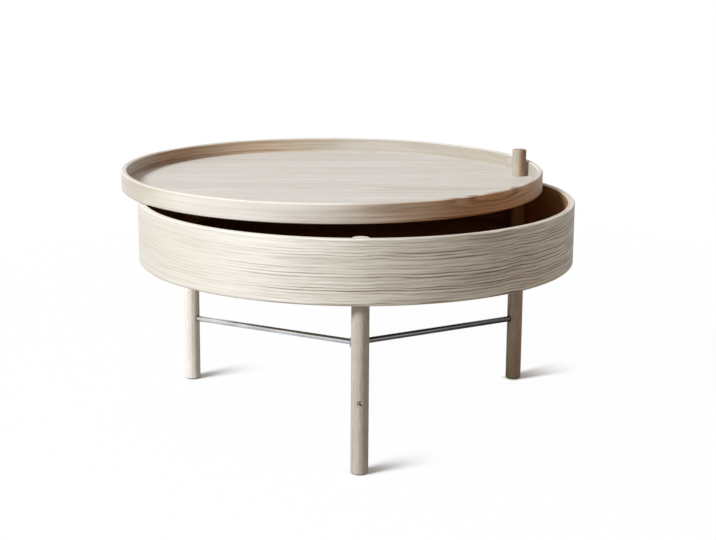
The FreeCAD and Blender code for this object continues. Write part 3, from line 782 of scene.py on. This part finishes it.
# %% A geometry tree with named inputs
class Recipe(Wiring):
    """A Geometry Nodes tree being wired up; each input has a title, a kind and a value."""

    family = "GeometryNode"

    def __init__(self, name, inputs):
        super().__init__(bpy.data.node_groups.new(name, "GeometryNodeTree"))
        face = self.tree.interface
        face.new_socket("Geometry", in_out="OUTPUT", socket_type="NodeSocketGeometry")
        self.keys = {}
        for title, (kind, value) in inputs.items():
            socket = face.new_socket(title, in_out="INPUT", socket_type="NodeSocket" + kind)
            self.keys[title] = (socket.identifier, value)
        self.entry = self.tree.nodes.new("NodeGroupInput")

    def given(self, title):
        return Wire(self, self.entry.outputs[self.keys[title][0]])

    def position(self):
        return self.parts(self.node("InputPosition", {}, {}))

    def ring_of_points(self, level):
        """A point at each leg's bearing, on a circle round the middle of the table."""
        circle = self.node("MeshCircle", {}, {
            "Vertices": self.given("Count"), "Radius": self.given("Ring Radius"),
        })
        return self.node("Transform", {}, {
            "Geometry": circle, "Translation": self.vector(0.0, 0.0, level),
            "Rotation": self.vector(0.0, 0.0, self.given("First Angle")),
        })

    def made_real(self, points, piece, rotation):
        """The piece at each point, as real faces with a material."""
        placed = self.node("InstanceOnPoints", {}, {
            "Points": points, "Instance": piece, "Rotation": rotation,
        })
        real = self.node("RealizeInstances", {}, {"Geometry": placed})
        return self.node("SetMaterial", {}, {
            "Geometry": real, "Material": self.given("Material"),
        })

    def finished(self, geometry, name):
        """Ends the tree, runs it once and returns its result as a plain mesh object."""
        leave = self.tree.nodes.new("NodeGroupOutput")
        self.tree.links.new(geometry.socket, leave.inputs[0])
        holder = bpy.data.objects.new(name + "_recipe", bpy.data.meshes.new(name))
        bpy.context.scene.collection.objects.link(holder)
        modifier = holder.modifiers.new("recipe", "NODES")
        modifier.node_group = self.tree
        for identifier, value in self.keys.values():
            modifier[identifier] = value
        seen = holder.evaluated_get(bpy.context.evaluated_depsgraph_get())
        mesh = bpy.data.meshes.new_from_object(seen)
        holder.modifiers.remove(modifier)
        bpy.data.objects.remove(holder)
        piece = bpy.data.objects.new(name, mesh)
        bpy.context.scene.collection.objects.link(piece)
        return piece


print("recipes start at bearing", PIVOT_BEARING)

# %% [markdown]
# ## Round-head screws at the rods
#
# Each rod is drawn up against its leg by a small machine screw. Its head is a dome with a
# hexagonal socket, which the solids only hold as a bevelled disc. A lathe would turn such a
# screw, and so does the recipe: a cylinder is given the profile of the screw, ring by ring,
# the socket is cut out, and a screw stands at each leg, looking outwards. No joiner stops
# three screws at the same angle, so a seeded twist turns each by its own amount.

# %% One recipe for the three screws
# Each pair is a share of the screw's length and a share of its head's radius.
SCREW_PROFILE = [
    (0.00, 0.44), (0.05, 0.52), (0.66, 0.52), (0.68, 1.00), (0.72, 1.00), (0.77, 0.98),
    (0.83, 0.92), (0.89, 0.82), (0.94, 0.69), (0.98, 0.55), (1.00, 0.42),
]
SCREW_SIDES = 40
SOCKET_SIDES = 6


def turned_blank(recipe):
    """A screw along X, turned from a cylinder of radius 1 and length 1."""
    rows = len(SCREW_PROFILE) - 1
    blank = recipe.node("MeshCylinder", {"fill_type": "TRIANGLE_FAN"}, {
        "Vertices": SCREW_SIDES, "Side Segments": rows, "Radius": 1.0, "Depth": 1.0,
    }, "Mesh")
    x, y, z = recipe.position()
    along = [(row / rows, length) for row, (length, width) in enumerate(SCREW_PROFILE)]
    across = [(row / rows, width) for row, (length, width) in enumerate(SCREW_PROFILE)]
    axial = recipe.node("ShaderNodeFloatCurve", {"profile": along}, {"Value": z + 0.5})
    radial = recipe.node("ShaderNodeFloatCurve", {"profile": across}, {"Value": z + 0.5})
    reach = radial * recipe.given("Head Radius")
    return recipe.node("SetPosition", {}, {
        "Geometry": blank,
        "Position": recipe.vector(axial * recipe.given("Length"), x * reach, y * reach),
    })


def make_rod_screws(inputs):
    """A screw with a hexagonal socket at each leg, each turned by its own twist."""
    recipe = Recipe("screws_on_a_ring", inputs)
    key = recipe.node("MeshCylinder", {}, {
        "Vertices": SOCKET_SIDES, "Radius": recipe.given("Socket Radius"),
        "Depth": recipe.given("Socket Depth") * 2,
    }, "Mesh")
    key = recipe.node("Transform", {}, {
        "Geometry": key, "Translation": recipe.vector(recipe.given("Length"), 0.0, 0.0),
        "Rotation": (0.0, math.pi / 2, 0.0),
    })
    screw = recipe.node("MeshBoolean", {"operation": "DIFFERENCE", "solver": "EXACT"},
                        {"Mesh 1": turned_blank(recipe), "Mesh 2": key}, "Mesh")
    x, y = recipe.position()[:2]
    outwards = recipe.node("FunctionNodeAlignRotationToVector", {"axis": "X"},
                           {"Vector": recipe.vector(x, y, 0.0)})
    twist = recipe.node("FunctionNodeRandomValue", {"data_type": "FLOAT"},
                        {"Max_001": 1.0, "Seed": recipe.given("Seed")}, "Value_001")
    rotation = recipe.node("FunctionNodeRotateRotation", {"rotation_space": "LOCAL"}, {
        "Rotation": outwards, "Rotate By": recipe.vector(twist, 0.0, 0.0),
    })
    points = recipe.ring_of_points(recipe.given("Level"))
    return recipe.finished(recipe.made_real(points, screw, rotation), "rod_screws")


print("screw profile:", len(SCREW_PROFILE), "rings of", SCREW_SIDES, "corners")

# %% Three screws made from the sizes of the solids
ROD_SCREWS = ("pivot_rod_screw", "left_rod_screw", "front_rod_screw")
screw_low, screw_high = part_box("front_rod_screw")
rod_screws = make_rod_screws({
    "Count": ("Int", len(ROD_SCREWS)),
    "First Angle": ("Float", math.radians(PIVOT_BEARING)),
    "Level": ("Float", (screw_low[2] + screw_high[2]) / 2),
    "Ring Radius": ("Float", -screw_high[1]),
    "Length": ("Float", screw_high[1] - screw_low[1]),
    "Head Radius": ("Float", (screw_high[0] - screw_low[0]) / 2),
    "Socket Radius": ("Float", SOCKET_RADIUS),
    "Socket Depth": ("Float", 0.0014),
    "Seed": ("Int", 4),
    "Material": ("Material", head_steel),
})
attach(rod_screws, "base")
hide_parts(*ROD_SCREWS)
print("screws:", len(rod_screws.data.polygons), "faces, length",
      round((screw_high[1] - screw_low[1]) * 1000, 1), "mm")

# %% [markdown]
# ## Plugs over the leg screws
#
# Two countersunk screws hold each leg to the wall of the drum, driven from the inside. A
# joiner hides such heads under plugs cut from the same wood, pared flush with the leg. A
# disc would stand out from the round leg, so a recipe bends the face of each plug to the
# leg's own radius, stacks two of them, and stands a pair at each of the three legs.

# %% One recipe for the six plugs
PLUG_SIDES = 32
PLUG_FACE_RINGS = 4


def make_leg_plugs(inputs):
    """Two plugs in each leg, pared to its round side."""
    recipe = Recipe("plugs_in_the_legs", inputs)
    blank = recipe.node("MeshCylinder", {"fill_type": "TRIANGLE_FAN"}, {
        "Vertices": PLUG_SIDES, "Side Segments": 1, "Fill Segments": PLUG_FACE_RINGS,
        "Radius": recipe.given("Plug Radius"), "Depth": 1.0,
    }, "Mesh")
    x, y, z = recipe.position()
    leg = recipe.given("Leg Radius")
    bottom = leg - recipe.given("Plug Depth")
    face = (leg * leg - x * x) ** 0.5
    plug = recipe.node("SetPosition", {}, {
        "Geometry": blank,
        "Position": recipe.vector(bottom + (z + 0.5) * (face - bottom), x, y),
    })
    levels = recipe.node("MeshLine", {"mode": "OFFSET"}, {
        "Count": 2, "Start Location": recipe.vector(0.0, 0.0, recipe.given("Low Level")),
        "Offset": recipe.vector(0.0, 0.0, recipe.given("Level Gap")),
    })
    pair = recipe.node("InstanceOnPoints", {}, {"Points": levels, "Instance": plug})
    x, y = recipe.position()[:2]
    inwards = recipe.node("FunctionNodeAlignRotationToVector", {"axis": "X", "pivot_axis": "Z"},
                          {"Vector": recipe.vector(0 - x, 0 - y, 0.0)})
    points = recipe.ring_of_points(0.0)
    return recipe.finished(recipe.made_real(points, pair, inwards), "leg_plugs")


print("plug faces:", PLUG_FACE_RINGS, "rings of", PLUG_SIDES, "corners")

# %% Six plugs made from the sizes of the solids
PLUG_CLEARANCE = 0.00005
low_screw, high_screw = (middle_of(f"front_leg_screw_{number}") for number in (1, 2))
leg_low, leg_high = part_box("front_leg")
head_low, head_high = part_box("front_leg_screw_1")
leg_plugs = make_leg_plugs({
    "Count": ("Int", len(LEGS)),
    "First Angle": ("Float", math.radians(PIVOT_BEARING)),
    "Ring Radius": ("Float", -(leg_low[1] + leg_high[1]) / 2),
    "Leg Radius": ("Float", (leg_high[1] - leg_low[1]) / 2 - PLUG_CLEARANCE),
    "Plug Radius": ("Float", (head_high[0] - head_low[0]) / 2),
    "Plug Depth": ("Float", leg_high[1] - head_high[1] - 2 * PLUG_CLEARANCE),
    "Low Level": ("Float", low_screw.z),
    "Level Gap": ("Float", high_screw.z - low_screw.z),
    "Material": ("Material", dowels["pivot_leg"]),
})
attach(leg_plugs, "base")
print("plugs:", len(leg_plugs.data.polygons), "faces")

# %% [markdown]
# ## The camera
#
# A long lens from a little above keeps the ellipses of drum and tray flat. The lens could
# be guessed by eye, but three ellipses, three feet and a post are enough to solve for it.
# It needs no shift: the middle of the picture is the middle of the lens.

# %% Camera
FRAME_WIDTH = 716
FOCAL_PIXELS = 1581.5
SENSOR = 36.0
CAMERA_PLACE = Vector((-0.0483, -2.3380, 0.7389))
CAMERA_DOWN = 12.645
CAMERA_HEADING = -1.26
CAMERA_ROLL = 0.384

lens = bpy.data.cameras.new("camera")
lens.sensor_fit = "HORIZONTAL"
lens.sensor_width = SENSOR
lens.lens = FOCAL_PIXELS / FRAME_WIDTH * SENSOR
camera = bpy.data.objects.new("camera", lens)
bpy.context.scene.collection.objects.link(camera)
aim = Euler((math.radians(90 - CAMERA_DOWN), 0, math.radians(CAMERA_HEADING)))
roll = Matrix.Rotation(math.radians(CAMERA_ROLL), 4, "Z")
camera.matrix_world = Matrix.Translation(CAMERA_PLACE) @ aim.to_matrix().to_4x4() @ roll
bpy.context.scene.camera = camera
print("lens", round(lens.lens, 1), "mm")

# %% [markdown]
# ## White ground and white air
#
# A white background could be had by pouring light on the floor, but that burns out the
# table as well. The floor and the world are white to the camera and to reflections only,
# through Light Path. To everything else they are a quiet, slightly warm room. In
# reflections, the floor near the table keeps most of its real shading, or the rods would
# lose much of the dark line along their undersides.
#
# Behind each foot, seen from the lamp, the floor keeps its real shading inside a fan that
# widens as a soft shadow does and fades along its way. The edge of the fan is blurred, so
# no line shows where the shading ends. Seen from below, the floor is clear. It lies a hair
# under the pads and lets the shortest rays through, or the felt would be black.

# %% What a ray may see
WHITE = (1.0, 1.0, 1.0, 1.0)


def ray(wiring, question):
    """What Light Path says about the ray that meets the surface."""
    return wiring.node("LightPath", {}, {}, question)


def either(wiring, first, second):
    """The larger of two answers, so 1 where one of them is 1."""
    return wiring.maths("MAXIMUM", first, second)


def seen_directly(wiring):
    """1 for rays from the camera, and for those off metal or through glass."""
    straight = either(wiring, ray(wiring, "Is Camera Ray"), ray(wiring, "Is Glossy Ray"))
    return either(wiring, straight, ray(wiring, "Is Transmission Ray"))


print("rays can be told apart")

# %% Soft shadows behind the feet
KEY_AZIMUTH = -55.0
SHADOW_LENGTH = 0.24
SHADOW_FADE = 4.0
SHADOW_WIDTH = 0.020
SHADOW_SPREAD = 0.22
SHADOW_CORE = 0.3
FOOT_GLOW = 0.10
FLOOR_GLOW = 0.98
NEAR_TABLE = 0.6
FAR_FROM_TABLE = 2.4


def fan_behind(finish, foot, x, y):
    """1 where the lamp's shadow of a foot begins, fading to 0 along it and to its sides."""
    turn = math.radians(90 + KEY_AZIMUTH)
    ahead = (x - foot.x) * math.cos(turn) + (y - foot.y) * math.sin(turn)
    aside = (y - foot.y) * math.cos(turn) - (x - foot.x) * math.sin(turn)
    before = finish.step(ahead, -SHADOW_WIDTH, 0.0)
    beyond = (1 - finish.step(ahead, 0.0, SHADOW_LENGTH)) ** SHADOW_FADE
    reach = finish.maths("MAXIMUM", ahead, 0.0) * SHADOW_SPREAD + SHADOW_WIDTH
    beside = 1 - finish.step(finish.maths("ABSOLUTE", aside) / reach, SHADOW_CORE, 1.0)
    return before * beyond * beside


def floor_glow(finish, x, y):
    """How much of the floor is plain white, from the feet out to where it all is."""
    share = finish.step(hypotenuse(x, y), NEAR_TABLE, FAR_FROM_TABLE, FLOOR_GLOW, 1.0)
    for foot in LEGS.values():
        here = 1 - fan_behind(finish, foot, x, y) * (1 - FOOT_GLOW)
        share = finish.maths("MINIMUM", here, share)
    return share


print("shadows fall towards", 90 + KEY_AZIMUTH, "degrees from +X")

# %% Floor
FLOOR_SIZE = 30.0
FLOOR_LEVEL = -0.0003
FLOOR_CLOUDS = 6.0
PALE_FLOOR = (paint(234, 242, 249), paint(238, 246, 253))
FLOOR_TO_THE_TABLE = paint(188, 185, 178)
MIRRORED_GLOW = 0.1
UNDER_PAD_FROM_TO = (0.001, 0.0012)


def floor_finish():
    """White where it is seen, quiet where it lights the table, clear from below."""
    finish = Finish("studio_floor")
    x, y = finish.parts(finish.place())[:2]
    seen = seen_directly(finish)
    pale = finish.mixed(finish.noise(finish.place(), FLOOR_CLOUDS, detail=2.0), *PALE_FLOOR)
    matt = finish.node("BsdfDiffuse", {}, {
        "Color": finish.mixed(seen, FLOOR_TO_THE_TABLE, pale),
    })
    glow = finish.node("Emission", {}, {"Color": WHITE, "Strength": 1.0})
    mirrored = ray(finish, "Is Glossy Ray")
    far = finish.step(hypotenuse(x, y), NEAR_TABLE, FAR_FROM_TABLE, MIRRORED_GLOW, 1.0)
    share = floor_glow(finish, x, y) * (1 - mirrored) + far * mirrored
    top = finish.node("MixShader", {}, {
        "Fac": seen * share, "Shader": matt, "Shader_001": glow,
    })
    bounced = either(finish, ray(finish, "Is Diffuse Ray"), ray(finish, "Is Shadow Ray"))
    short = 1 - finish.step(ray(finish, "Ray Length"), *UNDER_PAD_FROM_TO)
    from_below = finish.node("NewGeometry", {}, {}, "Backfacing")
    clear = finish.node("BsdfTransparent", {}, {})
    surface = finish.node("MixShader", {}, {
        "Fac": either(finish, from_below, bounced * short), "Shader": top, "Shader_001": clear,
    })
    finish.node("OutputMaterial", {}, {"Surface": surface}, None)
    return finish.material


half = FLOOR_SIZE / 2
floor_mesh = bpy.data.meshes.new("studio_floor")
corners = [(-half, -half), (half, -half), (half, half), (-half, half)]
floor_mesh.from_pydata([(x, y, FLOOR_LEVEL) for x, y in corners], [], [(0, 1, 2, 3)])
floor_mesh.materials.append(floor_finish())
floor = bpy.data.objects.new("studio_floor", floor_mesh)
bpy.context.scene.collection.objects.link(floor)
print("floor:", FLOOR_SIZE, "m wide,", -FLOOR_LEVEL * 1000, "mm under the pads")

# %% World
ROOM_LIGHT = 0.30
ROOM_TINT = paint(255, 228, 203)

world = bpy.data.worlds.new("studio")
world.use_nodes = True
bpy.context.scene.world = world
air = Wiring(world.node_tree)
room = air.node("Background", {}, {"Color": ROOM_TINT, "Strength": ROOM_LIGHT})
white = air.node("Background", {}, {"Color": WHITE, "Strength": 1.0})
sky = air.node("MixShader", {}, {
    "Fac": seen_directly(air), "Shader": room, "Shader_001": white,
})
air.node("OutputWorld", {}, {"Surface": sky}, None)
print("floor and world are white to the camera")

# %% [markdown]
# ## Light
#
# The light comes from a wide soft box at the left, a little in front and above. Its wide
# face makes the round wall shade off slowly to the right. It is a little cooler than the
# room, and reflections don't show it: the steel mirrors the white room instead of a lamp.

# %% Lamp
AIM = Vector((0.0, 0.0, 0.28))
KEY_LIFT = 35.0
KEY_DISTANCE = 6.0
KEY_WIDTH = 1.8
KEY_HEIGHT = 1.5
KEY_POWER = 375.0
KEY_COLOUR = (0.96, 0.985, 1.0)


def around(azimuth, lift, distance):
    """A place seen from the table: azimuth from the front, to the right when positive."""
    turn, rise = math.radians(azimuth), math.radians(lift)
    return (AIM[0] + distance * math.cos(rise) * math.sin(turn),
            AIM[1] - distance * math.cos(rise) * math.cos(turn),
            AIM[2] + distance * math.sin(rise))


soft_box = bpy.data.lights.new("key", "AREA")
soft_box.shape = "RECTANGLE"
soft_box.size = KEY_WIDTH
soft_box.size_y = KEY_HEIGHT
soft_box.energy = KEY_POWER
soft_box.color = KEY_COLOUR
key = bpy.data.objects.new("key", soft_box)
key_place = Vector(around(KEY_AZIMUTH, KEY_LIFT, KEY_DISTANCE))
facing = (key_place - AIM).to_track_quat("Z", "Y")
key.matrix_world = Matrix.Translation(key_place) @ facing.to_matrix().to_4x4()
key.visible_glossy = False
bpy.context.scene.collection.objects.link(key)
bpy.context.scene.view_settings.view_transform = "Standard"
print("lamp at", key_place.to_tuple(2))
